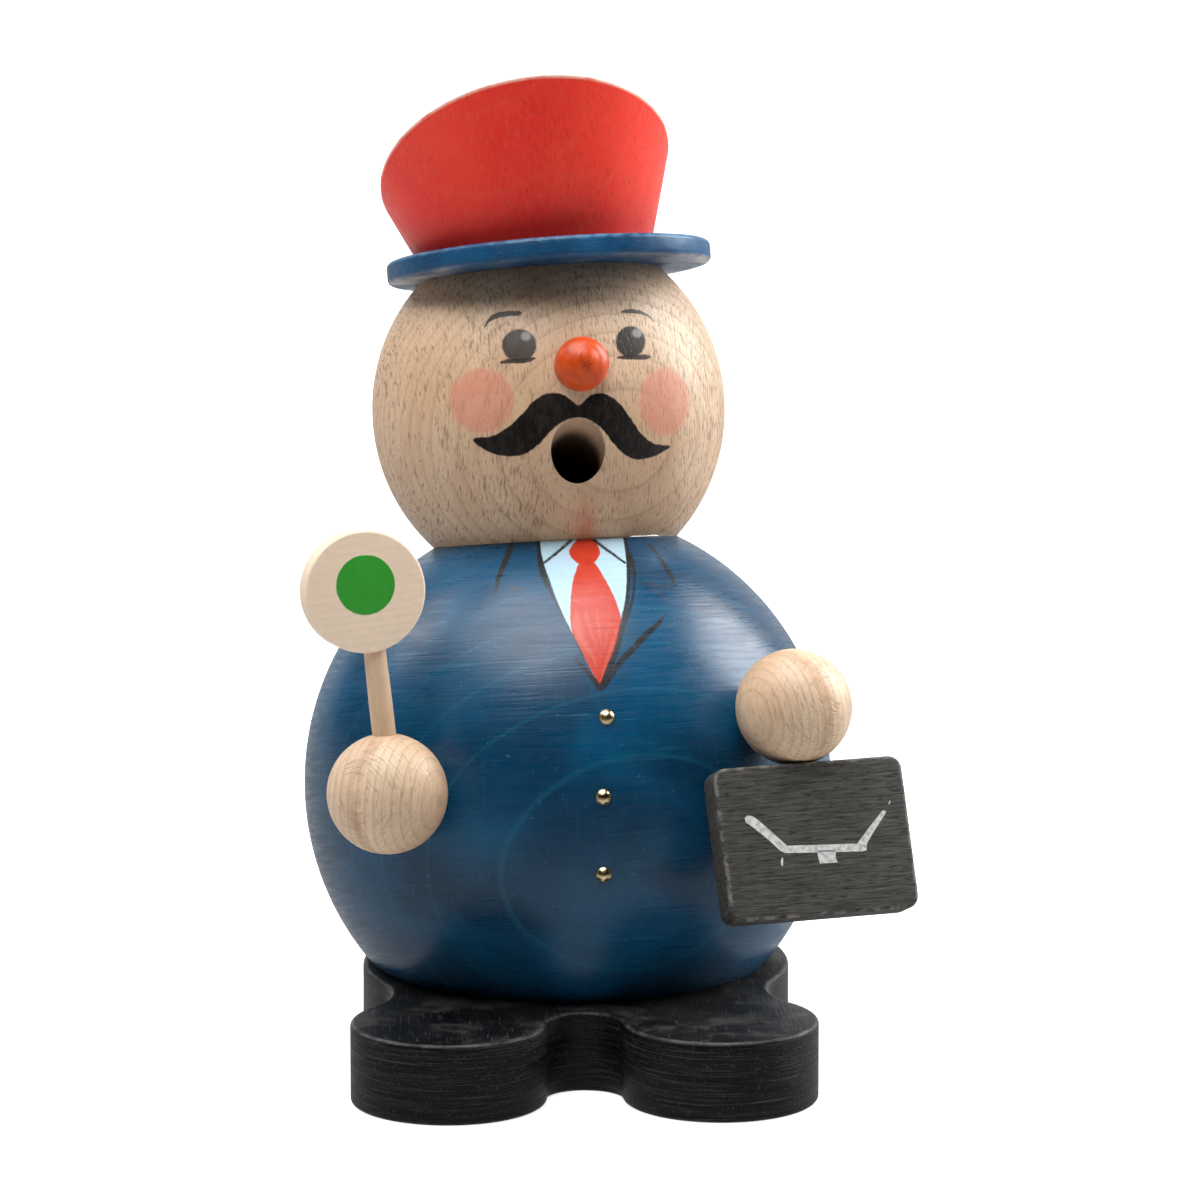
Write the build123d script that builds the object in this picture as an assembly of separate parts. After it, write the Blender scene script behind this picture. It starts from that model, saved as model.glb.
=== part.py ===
from build123d import *
import os
from math import cos, radians, sqrt, tan

# Ball-bodied wooden incense smoker, a railway guard with a signal disc and a case.
# Millimetres. +Z is up, the shoes point to -Y, and the origin lies under the ball's
# axis on the face that the base board stands on.

# General allowances
overrun = 2.0                 # how far every cutter passes the face that it cuts
glue_gap = 0.05               # radial room of a glued peg in its hole

# Base board: a round heel with two toes
board_thickness = 11.5
heel_radius = 30.4
toe_radius = 13.7
toe_spread = 18.9             # each toe's centre from the board's middle line
toe_reach = 34.6              # the toes' centres ahead of the heel's centre
waist_radius = 13.0           # hollow between heel and toe on each side
board_edge_radius = 0.7
board_shift_x = 1.0           # heel centre from the ball's axis, as it was glued
board_shift_y = -3.5

# Locating plug that the ball lifts off
plug_height = 7.0
plug_tenon_radius = 9.0
plug_tenon_depth = 5.0
plug_clearance = 0.1          # lets the ball lift off
plug_chamfer = 0.6

# Tray for the cone
tray_radius = 13.5
tray_rim_height = 1.6
tray_sheet = 0.5
tray_recess = 1.5             # depth of the plug's recess that holds the tray
tray_dimple_radius = 2.4
tray_dimple_depth = 0.6
nail_head_radius = 1.9
nail_head_height = 0.45
nail_radius = 0.6
nail_length = 6.0

# Incense cone
cone_base_radius = 5.5
cone_tip_radius = 1.2
cone_height = 24.0

# Ball body
body_side_radius = 37.6
body_tall_radius = 38.7
body_seat_radius = 28.6       # flat foot of the ball
figure_turn = 5.4             # degrees, how far the figure is turned on its base
neck_radius = 17.4
neck_lean_back = 12.3         # degrees
neck_lean_side = -1.4         # degrees, to the figure's own right
chamber_radius = 19.0
chamber_roof_height = 7.0     # cone left by the drill above the chamber's wall
throat_length = 8.4           # from that cone's top to the height of the neck
smoke_radius = 4.5
vent_radius = 4.0
vent_height = 14.0            # above the ball's foot

# Head
head_side_radius = 25.2
head_tall_radius = 26.2
head_turn = 3.5               # degrees, the face looks further to its left
head_top_height = 19.0        # flat under the hat, above the head's middle
head_channel_depth = 8.0
mouth_radius = 3.85
mouth_azimuth = -1.2          # degrees from the face's middle plane
mouth_elevation = -14.6       # degrees of the mouth on the ball
mouth_slope = 22.0            # degrees, the bore falls inwards

# Nose, a turned knob with its own peg
nose_azimuth = 0.9            # degrees
nose_elevation = 12.1         # degrees
nose_radius = 3.75
nose_sunk = 1.0
nose_cheek_height = 1.4
nose_shoulder_height = 3.9
nose_shoulder_radius = 1.5
nose_nub_radius = 0.85
nose_nub_height = 4.7
nose_peg_radius = 2.0
nose_peg_length = 6.0

# Hat
hat_tip_back = 3.2            # degrees
hat_tip_side = -0.8           # degrees, to the figure's right
brim_radius = 23.1
brim_thickness = 3.0
brim_edge_radius = 0.7
brim_shift = 0.76             # to the figure's left, as it was glued
brim_forward = 4.8            # over the forehead, which it shades in the photo
crown_foot_radius = 16.6
crown_flare = 20.7            # degrees, half the cone's angle
crown_shift = -1.3
crown_lean = -6.1             # degrees, to the figure's right
crown_middle_height = 10.4
crown_slope = 25.9            # degrees, the top falls to the rear
crown_slope_side = -2.1       # degrees, the top falls to the figure's right
crown_edge_radius = 0.35
hat_peg_radius = 3.0
hat_peg_in_head = 7.0
hat_peg_in_crown = 5.0

# Hands and their pegs
right_hand_radius = 8.4
right_hand_azimuth = -41.1    # degrees from the front, negative is the figure's right
right_hand_elevation = 8.8    # degrees
left_hand_radius = 8.15
left_hand_azimuth = 41.2      # degrees
left_hand_elevation = 22.1    # degrees
hand_seat_depth = 0.5         # dished seat in the ball
hand_peg_radius = 1.5
hand_peg_in_body = 6.0
hand_peg_in_hand = 6.0

# Signal disc on its stick
stick_radius = 1.6
stick_offset = 0.5            # to the figure's left of the hand's middle
stick_in_hand = 5.0
stick_in_disc = 4.0
stick_lean_back = 5.5         # degrees
stick_lean_side = -5.6        # degrees
disc_radius = 8.5
disc_thickness = 4.2
disc_height = 28.5            # disc's centre above the hand's centre
disc_shift = -0.75            # to the figure's right of the stick
disc_turn = 7.5               # degrees
disc_edge_radius = 0.4

# Briefcase and the pin that holds it
case_width = 27.9
case_height = 21.6
case_thickness = 5.0
case_corner_radius = 1.9
case_edge_radius = 0.6
case_turn = 11.6              # degrees
case_lean_back = 22.1         # degrees
case_pin_radius = 0.8
case_pin_in_hand = 5.0
case_pin_in_case = 6.0

# Brass nails down the coat
button_head_radius = 1.15
button_head_height = 0.75
button_shank_radius = 0.45
button_shank_length = 6.0
button_places = {              # azimuth and elevation on the body in degrees
    "button_top": (1.9, 26.6),
    "button_middle": (0.3, 9.6),
    "button_bottom": (0.3, -7.2),
}

# Worked out from the sizes above
body_drop = body_tall_radius * sqrt(1 - (body_seat_radius / body_side_radius) ** 2)
body_height = board_thickness + body_drop
neck_height = body_tall_radius * sqrt(1 - (neck_radius / body_side_radius) ** 2)
head_drop = head_tall_radius * sqrt(1 - (neck_radius / head_side_radius) ** 2)
plug_radius = chamber_radius - plug_clearance
plug_top = board_thickness + plug_height
tray_floor = plug_top - tray_recess + tray_sheet
chamber_height = body_drop + neck_height - throat_length - chamber_roof_height
chamber_top = board_thickness + chamber_height

# Frames of the figure before it is turned on its base
body_frame = Pos(0, 0, body_height)
neck_frame = body_frame * Rot(0, neck_lean_side, 0) * Rot(-neck_lean_back, 0, 0)
head_frame = neck_frame * Pos(0, 0, neck_height + head_drop) * Rot(0, 0, head_turn)
hat_frame = head_frame * Rot(0, hat_tip_side, 0) * Rot(-hat_tip_back, 0, 0) * Pos(0, 0, head_top_height)
brim_frame = hat_frame * Pos(brim_shift, -brim_forward, 0)
crown_frame = brim_frame * Pos(crown_shift, 0, brim_thickness)


def rising(radius, height, bottom=0.0):
    """Cylinder about Z that starts at bottom."""
    return Pos(0, 0, bottom) * Cylinder(radius, height, align=(Align.CENTER, Align.CENTER, Align.MIN))


def outward(azimuth, elevation):
    """Turn that sends +Z out of the figure's front at the given angles."""
    return Rot(0, 0, azimuth) * Rot(90 - elevation, 0, 0)


def spheroid(side_radius, tall_radius):
    """Turned ball, a half ellipse spun about Z."""
    half = split(Ellipse(side_radius, tall_radius), Plane.YZ, keep=Keep.TOP)
    return revolve(Plane.XZ * half, Axis.Z)


def surface_distance(frame, turn, side_radius, tall_radius):
    """Distance from a ball's middle to its surface along the +Z of frame * turn."""
    direction = Plane(frame * turn).z_dir
    rise = direction.dot(Plane(frame).z_dir)
    return 1 / sqrt((rise / tall_radius) ** 2 + (1 - rise ** 2) / side_radius ** 2)


def body_surface(turn):
    """Distance from the body's middle to its surface, the turn given in the upright frame."""
    rise = Plane(body_frame * turn).z_dir.dot(Plane(neck_frame).z_dir)
    return 1 / sqrt((rise / body_tall_radius) ** 2 + (1 - rise ** 2) / body_side_radius ** 2)


def hand_frame(azimuth, elevation, radius):
    """Middle of a hand ball that sits in its dished seat, +Z pointing away from the body."""
    turn = outward(azimuth, elevation)
    return body_frame * turn * Pos(0, 0, body_surface(turn) + radius - hand_seat_depth)


right_hand_frame = hand_frame(right_hand_azimuth, right_hand_elevation, right_hand_radius)
left_hand_frame = hand_frame(left_hand_azimuth, left_hand_elevation, left_hand_radius)
stick_turn = Rot(0, stick_lean_side, 0) * Rot(-stick_lean_back, 0, 0)
stick_frame = Pos(*right_hand_frame.position) * stick_turn * Pos(stick_offset, 0, 0)
disc_frame = stick_frame * Pos(disc_shift, 0, disc_height) * Rot(0, 0, disc_turn) * Rot(90, 0, 0)
case_frame = Pos(*left_hand_frame.position) * Rot(0, 0, case_turn) * Rot(-case_lean_back, 0, 0)
nose_turn = outward(nose_azimuth, nose_elevation)
nose_distance = surface_distance(head_frame, nose_turn, head_side_radius, head_tall_radius)
nose_frame = head_frame * nose_turn * Pos(0, 0, nose_distance)


def board_outline():
    """Heel and two toes joined by hollows that touch both circles."""
    heel = Circle(heel_radius)
    outline = heel
    span = sqrt(toe_spread ** 2 + toe_reach ** 2)
    heel_side = heel_radius + waist_radius
    toe_side = toe_radius + waist_radius
    along = (span ** 2 + heel_side ** 2 - toe_side ** 2) / (2 * span)
    across = sqrt(heel_side ** 2 - along ** 2)
    setback = toe_reach - heel_radius
    notch_radius = (toe_spread ** 2 + setback ** 2 - toe_radius ** 2) / (2 * (toe_radius + setback))
    notch = (0, -(heel_radius + notch_radius))
    hollows = Pos(*notch) * Circle(notch_radius)
    for side in (-1, 1):
        toe = (side * toe_spread, -toe_reach)
        ahead = (toe[0] / span, toe[1] / span)
        waist = (
            ahead[0] * along - side * ahead[1] * across,
            ahead[1] * along + side * ahead[0] * across,
        )
        outline += Pos(*toe) * Circle(toe_radius)
        outline += make_face(Polyline((0, 0), waist, toe, close=True))
        outline += make_face(Polyline((0, 0), notch, toe, close=True))
        hollows += Pos(*waist) * Circle(waist_radius)
    return Pos(board_shift_x, board_shift_y) * (outline - hollows)


def base_board():
    """Board with softened edges and the blind hole for the plug's tenon."""
    board = extrude(board_outline(), board_thickness)
    rims = board.edges().group_by(Axis.Z)
    board = fillet(rims[0] + rims[-1], board_edge_radius)
    depth = plug_tenon_depth + glue_gap
    return board - rising(plug_tenon_radius + glue_gap, depth + overrun, board_thickness - depth)


def base_plug():
    """Turned plug with its tenon, the recess for the tray and the nail's hole."""
    plug = rising(plug_radius, plug_height, board_thickness)
    plug = chamfer(plug.edges().group_by(Axis.Z)[-1], plug_chamfer)
    plug += rising(plug_tenon_radius, plug_tenon_depth + overrun, board_thickness - plug_tenon_depth)
    recess_floor = plug_top - tray_recess
    plug -= rising(tray_radius + glue_gap, tray_recess + overrun, recess_floor)
    dimple_floor = recess_floor - tray_dimple_depth
    plug -= rising(tray_dimple_radius + glue_gap, tray_dimple_depth + overrun, dimple_floor)
    nail_tip = tray_floor - nail_length
    return plug - rising(nail_radius, nail_length, nail_tip - glue_gap)


def cone_tray():
    """Stamped sheet dish with a rim and a dimple for the nail's head."""
    bottom = tray_floor - tray_sheet
    tray = rising(tray_radius, tray_rim_height, bottom)
    tray -= rising(tray_radius - tray_sheet, tray_rim_height + overrun, tray_floor)
    tray += rising(tray_dimple_radius, tray_dimple_depth + tray_sheet, bottom - tray_dimple_depth)
    dimple_floor = tray_floor - tray_dimple_depth
    tray -= rising(tray_dimple_radius - tray_sheet / 2, tray_dimple_depth + overrun, dimple_floor)
    return tray - rising(nail_radius, tray_dimple_depth + overrun, bottom - overrun)


def tray_nail():
    """Flat-headed nail through the dimple, its head below the tray's floor."""
    dimple_floor = tray_floor - tray_dimple_depth
    head = rising(nail_head_radius, nail_head_height, dimple_floor)
    return head + rising(nail_radius, dimple_floor - (tray_floor - nail_length), tray_floor - nail_length)


def incense_cone():
    """Pressed cone that stands on the tray."""
    cone = Cone(cone_base_radius, cone_tip_radius, cone_height, align=(Align.CENTER, Align.CENTER, Align.MIN))
    tip = cone.edges().group_by(Axis.Z)[-1]
    return Pos(0, 0, tray_floor) * fillet(tip, cone_tip_radius / 2)


def chamber():
    """Bore from below, the drill's conical roof and the channel to the neck."""
    depth = chamber_top - board_thickness
    room = rising(chamber_radius, depth + overrun, board_thickness - overrun)
    roof = Cone(chamber_radius, smoke_radius, chamber_roof_height, align=(Align.CENTER, Align.CENTER, Align.MIN))
    channel = neck_frame * rising(smoke_radius, neck_height + overrun)
    return room + Pos(0, 0, chamber_top) * roof + channel


def body_ball():
    """Hollow ball with its flat foot, neck seat, dished hand seats, holes and vent."""
    ball = neck_frame * spheroid(body_side_radius, body_tall_radius)
    ball = split(ball, Plane.XY.offset(board_thickness), keep=Keep.TOP)
    ball = split(ball, Plane(neck_frame).offset(neck_height), keep=Keep.BOTTOM)
    ball -= chamber()
    vent_turn = Rot(-90, 0, 0)
    ball -= Pos(0, 0, board_thickness + vent_height) * vent_turn * rising(vent_radius, body_tall_radius)
    for frame, radius in ((right_hand_frame, right_hand_radius), (left_hand_frame, left_hand_radius)):
        ball -= Pos(*frame.position) * Sphere(radius)
        depth = hand_peg_in_body + glue_gap
        ball -= frame * rising(hand_peg_radius + glue_gap, depth + radius, -depth - radius)
    nail_hole = rising(button_shank_radius, button_shank_length + overrun, -button_shank_length)
    for place in button_places.values():
        ball -= button_frame(*place) * nail_hole
    return ball


def button_frame(azimuth, elevation):
    """Point on the body's front where a nail goes in, +Z pointing out."""
    turn = outward(azimuth, elevation)
    return body_frame * turn * Pos(0, 0, body_surface(turn))


def button(azimuth, elevation):
    """Domed brass nail, its head lying on the coat."""
    rise = button_head_height
    dome_radius = (button_head_radius ** 2 + rise ** 2) / (2 * rise)
    dome = Pos(0, 0, rise - dome_radius) * Sphere(dome_radius)
    head = dome & rising(button_head_radius + overrun, rise + overrun)
    nail = head + rising(button_shank_radius, button_shank_length + rise / 2, -button_shank_length)
    return button_frame(azimuth, elevation) * nail


def head_ball():
    """Ball with flats for neck and hat, the smoke's way to the mouth and the nose's socket."""
    ball = head_frame * spheroid(head_side_radius, head_tall_radius)
    ball = split(ball, Plane(neck_frame).offset(neck_height), keep=Keep.TOP)
    ball = split(ball, Plane(hat_frame), keep=Keep.BOTTOM)
    ball -= hat_peg_hole()
    ball -= head_frame * rising(smoke_radius, head_channel_depth + overrun, -head_drop - overrun)
    ball -= mouth_bore()
    socket = rising(nose_radius + glue_gap, nose_sunk + overrun, -nose_sunk)
    peg_end = nose_sunk + nose_peg_length + glue_gap
    socket += rising(nose_peg_radius + glue_gap, peg_end, -peg_end)
    return ball - nose_frame * socket


def mouth_bore():
    """Sloping bore from the mouth down to the channel in the head's foot."""
    turn = outward(mouth_azimuth, mouth_elevation)
    distance = surface_distance(head_frame, turn, head_side_radius, head_tall_radius)
    mouth = (head_frame * turn * Pos(0, 0, distance)).position
    run = distance * cos(radians(mouth_elevation)) / cos(radians(mouth_slope))
    direction = Plane(head_frame * outward(mouth_azimuth, mouth_slope)).z_dir
    bore = Plane(origin=mouth, z_dir=direction)
    return bore * rising(mouth_radius, run + mouth_radius + overrun, -run)


def nose_knob():
    """Turned knob: cheek, rounded shoulder and a small nub, on a peg."""
    profile = Polyline((0, -nose_sunk), (nose_radius, -nose_sunk), (nose_radius, nose_cheek_height))
    shoulder = TangentArc(
        profile @ 1, (nose_shoulder_radius, nose_shoulder_height), tangent=(0, 1)
    )
    tip = Polyline(
        shoulder @ 1,
        (nose_nub_radius, nose_shoulder_height),
        (nose_nub_radius, nose_nub_height),
        (0, nose_nub_height),
        (0, -nose_sunk),
    )
    knob = revolve(Plane.XZ * make_face(profile + shoulder + tip), Axis.Z)
    knob = fillet(knob.edges().group_by(Axis.Z)[-1], nose_nub_radius / 2)
    knob += rising(nose_peg_radius, nose_peg_length + overrun / 2, -nose_sunk - nose_peg_length)
    return nose_frame * knob


def hat_peg_hole():
    """Cutter through the brim for the peg, blind in the head and in the crown."""
    bottom = -hat_peg_in_head - glue_gap
    top = brim_thickness + hat_peg_in_crown + glue_gap
    return hat_frame * rising(hat_peg_radius + glue_gap, top - bottom, bottom)


def hat_peg():
    """Dowel that pins crown and brim on the head."""
    length = hat_peg_in_head + brim_thickness + hat_peg_in_crown
    return hat_frame * rising(hat_peg_radius, length, -hat_peg_in_head)


def hat_brim():
    """Turned disc with rounded edges."""
    brim = rising(brim_radius, brim_thickness)
    brim = fillet(brim.edges().filter_by(GeomType.CIRCLE), brim_edge_radius)
    return brim_frame * brim - hat_peg_hole()


def hat_crown():
    """Flared cone that leans aside, cut flat on the brim and slanting at the top."""
    below = crown_foot_radius
    above = crown_middle_height + crown_foot_radius
    spread = tan(radians(crown_flare))
    blank = Cone(
        crown_foot_radius - below * spread,
        crown_foot_radius + above * spread,
        below + above,
        align=(Align.CENTER, Align.CENTER, Align.MIN),
    )
    crown = crown_frame * Rot(0, crown_lean, 0) * Pos(0, 0, -below) * blank
    crown = split(crown, Plane(crown_frame), keep=Keep.TOP)
    middle = crown_frame * Pos(0, 0, crown_middle_height)
    slant = Plane(middle * Rot(0, crown_slope_side, 0) * Rot(-crown_slope, 0, 0))
    crown = split(crown, slant, keep=Keep.BOTTOM)
    rim = crown.edges().sort_by(Axis(slant.origin, slant.z_dir))[-1]
    return fillet(rim, crown_edge_radius) - hat_peg_hole()


def right_hand_ball():
    """Hand ball with the holes for its peg and for the stick."""
    ball = Pos(*right_hand_frame.position) * Sphere(right_hand_radius)
    ball -= peg_hole(right_hand_frame, right_hand_radius)
    depth = stick_in_hand + glue_gap
    return ball - stick_frame * rising(stick_radius + glue_gap, depth + overrun, right_hand_radius - depth)


def left_hand_ball():
    """Hand ball with the holes for its peg and for the case's pin."""
    ball = Pos(*left_hand_frame.position) * Sphere(left_hand_radius)
    ball -= peg_hole(left_hand_frame, left_hand_radius)
    depth = case_pin_in_hand + glue_gap
    hole = rising(case_pin_radius, depth + overrun, -left_hand_radius - overrun)
    return ball - case_frame * hole


def peg_hole(frame, radius):
    """Cutter for the peg's hole in a hand, on the side of the body."""
    return frame * rising(hand_peg_radius + glue_gap, hand_peg_in_hand + glue_gap + overrun, -radius - overrun)


def hand_peg(frame, radius):
    """Dowel between the body and a hand."""
    length = hand_peg_in_body + hand_peg_in_hand
    return frame * rising(hand_peg_radius, length, -radius - hand_peg_in_body)


def signal_stick():
    """Round stick from the hand up into the disc's edge."""
    start = right_hand_radius - stick_in_hand
    end = disc_height - disc_radius + stick_in_disc
    return stick_frame * rising(stick_radius, end - start, start)


def signal_disc():
    """Turned disc with the hole for the stick in its edge."""
    disc = Cylinder(disc_radius, disc_thickness)
    disc = fillet(disc.edges().filter_by(GeomType.CIRCLE), disc_edge_radius)
    foot = disc_height - disc_radius
    hole = rising(stick_radius + glue_gap, stick_in_disc + glue_gap + overrun, foot - overrun)
    return disc_frame * disc - stick_frame * hole


def briefcase():
    """Board with rounded corners that hangs under the hand, drilled for its pin."""
    face = RectangleRounded(case_width, case_height, case_corner_radius)
    board = extrude(Plane.XZ * face, case_thickness / 2, both=True)
    rims = board.edges().group_by(Axis.Y)
    board = fillet(rims[0] + rims[-1], case_edge_radius)
    top = -left_hand_radius
    board = Pos(0, 0, top - case_height / 2) * board
    depth = case_pin_in_case + glue_gap
    return case_frame * (board - rising(case_pin_radius, depth + overrun, top - depth))


def briefcase_pin():
    """Wire pin from the hand down into the case's top edge."""
    length = case_pin_in_hand + case_pin_in_case
    return case_frame * rising(case_pin_radius, length, -left_hand_radius - case_pin_in_case)


standing_parts = {
    "base_board": base_board,
    "base_plug": base_plug,
    "cone_tray": cone_tray,
    "tray_nail": tray_nail,
    "incense_cone": incense_cone,
}
turned_parts = {
    "body_ball": body_ball,
    "head_ball": head_ball,
    "nose_knob": nose_knob,
    "hat_peg": hat_peg,
    "hat_brim": hat_brim,
    "hat_crown": hat_crown,
    "right_hand_ball": right_hand_ball,
    "signal_stick": signal_stick,
    "signal_disc": signal_disc,
    "left_hand_ball": left_hand_ball,
    "briefcase": briefcase,
    "briefcase_pin": briefcase_pin,
}


def build_parts():
    """Every piece by name, the figure turned on its base."""
    pieces = {name: make() for name, make in standing_parts.items()}
    figure = {name: make() for name, make in turned_parts.items()}
    figure["right_hand_peg"] = hand_peg(right_hand_frame, right_hand_radius)
    figure["left_hand_peg"] = hand_peg(left_hand_frame, left_hand_radius)
    for name, place in button_places.items():
        figure[name] = button(*place)
    for name, shape in figure.items():
        pieces[name] = Rot(0, 0, figure_turn) * shape
    return pieces


os.makedirs("parts", exist_ok=True)
for name, shape in build_parts().items():
    export_step(shape, f"parts/{name}.step")
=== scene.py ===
import math

import bmesh
import bpy
import numpy as np
from mathutils import Euler, Matrix, Vector


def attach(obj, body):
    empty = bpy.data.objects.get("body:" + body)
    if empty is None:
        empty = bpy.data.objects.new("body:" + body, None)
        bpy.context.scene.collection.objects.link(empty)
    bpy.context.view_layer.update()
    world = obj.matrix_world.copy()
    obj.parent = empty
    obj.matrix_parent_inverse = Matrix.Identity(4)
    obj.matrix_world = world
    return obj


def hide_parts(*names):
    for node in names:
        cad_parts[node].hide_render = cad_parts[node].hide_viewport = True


# Looks of a turned wooden incense smoker. Lengths are in millimetres in the tables and functions,
# and become metres when a mesh is made.

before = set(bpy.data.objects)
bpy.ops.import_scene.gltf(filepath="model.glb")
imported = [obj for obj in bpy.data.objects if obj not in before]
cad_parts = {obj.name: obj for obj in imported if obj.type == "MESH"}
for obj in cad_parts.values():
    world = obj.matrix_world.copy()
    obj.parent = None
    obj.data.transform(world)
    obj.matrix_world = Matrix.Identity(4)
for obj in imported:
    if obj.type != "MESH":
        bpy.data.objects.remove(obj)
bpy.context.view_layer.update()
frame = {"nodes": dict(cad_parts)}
nodes = frame["nodes"]

MM = 0.001
SMOOTH_ANGLE = math.radians(35)

# The photograph's camera in a 1200 x 1200 frame
PHOTO_SIZE = 1200.0
PHOTO_MIDDLE = PHOTO_SIZE / 2
PHOTO_FOCAL = 8400.0                        # pixels
CAMERA_PLACE = (-40.3, -1168.8, 306.4)
CAMERA_TILT = 11.75                         # degrees below the horizon
CAMERA_TURN = -2.2                          # degrees about +Z


def rx(degrees):
    return Matrix.Rotation(math.radians(degrees), 4, "X")


def ry(degrees):
    return Matrix.Rotation(math.radians(degrees), 4, "Y")


def rz(degrees):
    return Matrix.Rotation(math.radians(degrees), 4, "Z")


def at(x, y, z):
    return Matrix.Translation((x, y, z))


def tilted(tilt):
    return ry(tilt[0]) @ rx(tilt[1])


def outward(azimuth, elevation):
    """Turn that sends +Z out of the figure's front."""
    return rz(azimuth) @ rx(90 - elevation)


# Sizes and frames, the same as the solids have
BOARD_TOP = 11.5
FIGURE_TURN = 5.4
BODY_SIDE, BODY_TALL, BODY_SEAT = 37.6, 38.7, 28.6
NECK = 17.4
HEAD_SIDE, HEAD_TALL = 25.2, 26.2
HAND_SINK = 0.5
NECK_TILT, HEAD_TURN = (-1.4, -12.3), 3.5   # a tilt is to the side, then to the front
RIGHT_HAND, LEFT_HAND = 8.4, 8.15
RIGHT_HAND_SPOT, LEFT_HAND_SPOT, NOSE_SPOT = (-41.1, 8.8), (41.2, 22.1), (0.9, 12.1)
CHAMBER, ROOF, THROAT, THROAT_LENGTH = 19.0, 7.0, 4.5, 8.4
VENT, VENT_Z = 4.0, 25.5
MOUTH, MOUTH_AZIMUTH, MOUTH_ELEVATION, MOUTH_SLOPE = 3.85, -1.2, -14.6, 22.0
HAT_TILT, HAT_SEAT = (-0.8, -3.2), 19.0
BRIM, BRIM_THICK, BRIM_ROUND = 23.1, 3.0, 0.7
BRIM_ASIDE, BRIM_FORWARD = 0.76, 4.8
CROWN_FOOT, CROWN_FLARE, CROWN_LEAN, CROWN_ASIDE = 16.6, 20.7, -6.1, -1.3
CROWN_HEIGHT, CROWN_SLOPE, CROWN_SLOPE_SIDE, CROWN_ROUND = 10.4, 25.9, -2.1, 0.35
NOSE = 3.75
STICK, STICK_TILT, STICK_SHIFT = 1.6, (-5.6, -5.5), 0.5
DISC, DISC_THICK, DISC_HEIGHT, DISC_SHIFT, DISC_TURN = 8.5, 4.2, 28.5, -0.75, 7.5
CASE_WIDE, CASE_TALL, CASE_THICK, CASE_CORNER, CASE_ROUND = 27.9, 21.6, 5.0, 1.9, 0.6
CASE_TURN, CASE_LEAN = 11.6, -22.1
HEEL, TOE, WAIST, TOE_SPREAD, TOE_REACH, BOARD_ROUND = 30.4, 13.7, 13.0, 18.9, 34.6, 0.7
BOARD_PLACE = (1.0, -3.5)
NAIL_HEAD, NAIL_RISE, NAIL_SHANK, NAIL_LENGTH = 1.15, 0.75, 0.45, 6.0


def cap_height(side, tall, radius):
    """Height over a spheroid's middle where its section has the given radius."""
    return tall * math.sqrt(1 - (radius / side) ** 2)


BODY_Z = BOARD_TOP + cap_height(BODY_SIDE, BODY_TALL, BODY_SEAT)
NECK_Z = cap_height(BODY_SIDE, BODY_TALL, NECK)
HEAD_DROP = cap_height(HEAD_SIDE, HEAD_TALL, NECK)
CHAMBER_TOP = BODY_Z + NECK_Z - THROAT_LENGTH - ROOF
turned = rz(FIGURE_TURN)
body_frame = turned @ at(0, 0, BODY_Z)
neck_frame = body_frame @ tilted(NECK_TILT)
head_frame = neck_frame @ at(0, 0, NECK_Z + HEAD_DROP) @ rz(HEAD_TURN)
hat_frame = head_frame @ tilted(HAT_TILT) @ at(0, 0, HAT_SEAT)
brim_frame = hat_frame @ at(BRIM_ASIDE, -BRIM_FORWARD, 0)
crown_frame = brim_frame @ at(CROWN_ASIDE, 0, BRIM_THICK)
crown_top = (ry(CROWN_SLOPE_SIDE) @ rx(-CROWN_SLOPE)).to_3x3() @ Vector((0, 0, 1))


def surface_distance(ball, direction, side, tall):
    rise = direction.dot(ball.col[2].to_3d())
    return 1 / math.sqrt((rise / tall) ** 2 + (1 - rise ** 2) / side ** 2)


def on_body(azimuth, elevation, lift=0.0):
    turn = body_frame @ outward(azimuth, elevation)
    return turn @ at(0, 0, lift + surface_distance(neck_frame, turn.col[2].to_3d(), BODY_SIDE, BODY_TALL))


def on_head(azimuth, elevation):
    turn = head_frame @ outward(azimuth, elevation)
    return turn @ at(0, 0, surface_distance(head_frame, turn.col[2].to_3d(), HEAD_SIDE, HEAD_TALL))


right_hand = on_body(*RIGHT_HAND_SPOT, RIGHT_HAND - HAND_SINK)
left_hand = on_body(*LEFT_HAND_SPOT, LEFT_HAND - HAND_SINK)
nose_frame = on_head(*NOSE_SPOT)
stick_frame = at(*right_hand.translation) @ turned @ tilted(STICK_TILT) @ at(STICK_SHIFT, 0, 0)
disc_frame = stick_frame @ at(DISC_SHIFT, 0, DISC_HEIGHT) @ rz(DISC_TURN) @ rx(90)
case_frame = at(*left_hand.translation) @ turned @ rz(CASE_TURN) @ rx(CASE_LEAN)
case_middle = case_frame @ at(0, 0, -LEFT_HAND - CASE_TALL / 2)

camera_matrix = at(*CAMERA_PLACE) @ rz(CAMERA_TURN) @ rx(90 - CAMERA_TILT)


def to_photo(points):
    """Pixels of the 1200 x 1200 frame for points in millimetres."""
    inverse = np.array(camera_matrix.inverted())
    seen = np.asarray(points) @ inverse[:3, :3].T + inverse[:3, 3]
    across = PHOTO_MIDDLE + PHOTO_FOCAL * seen[:, 0] / -seen[:, 2]
    down = PHOTO_MIDDLE - PHOTO_FOCAL * seen[:, 1] / -seen[:, 2]
    return np.stack([across, down], 1)


def from_photo(pixels, plane):
    """Points, in a plane frame's own x and y, where the pixels' lines of sight meet the plane."""
    inverse = plane.inverted() @ camera_matrix
    start = inverse.translation
    found = []
    for across, down in pixels:
        seen = Vector((across - PHOTO_MIDDLE, PHOTO_MIDDLE - down, -PHOTO_FOCAL))
        ray = inverse.to_3x3() @ (seen / PHOTO_FOCAL)
        hit = start - ray * (start.z / ray.z)
        found.append((hit.x, hit.y))
    return found


# Meshes

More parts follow.
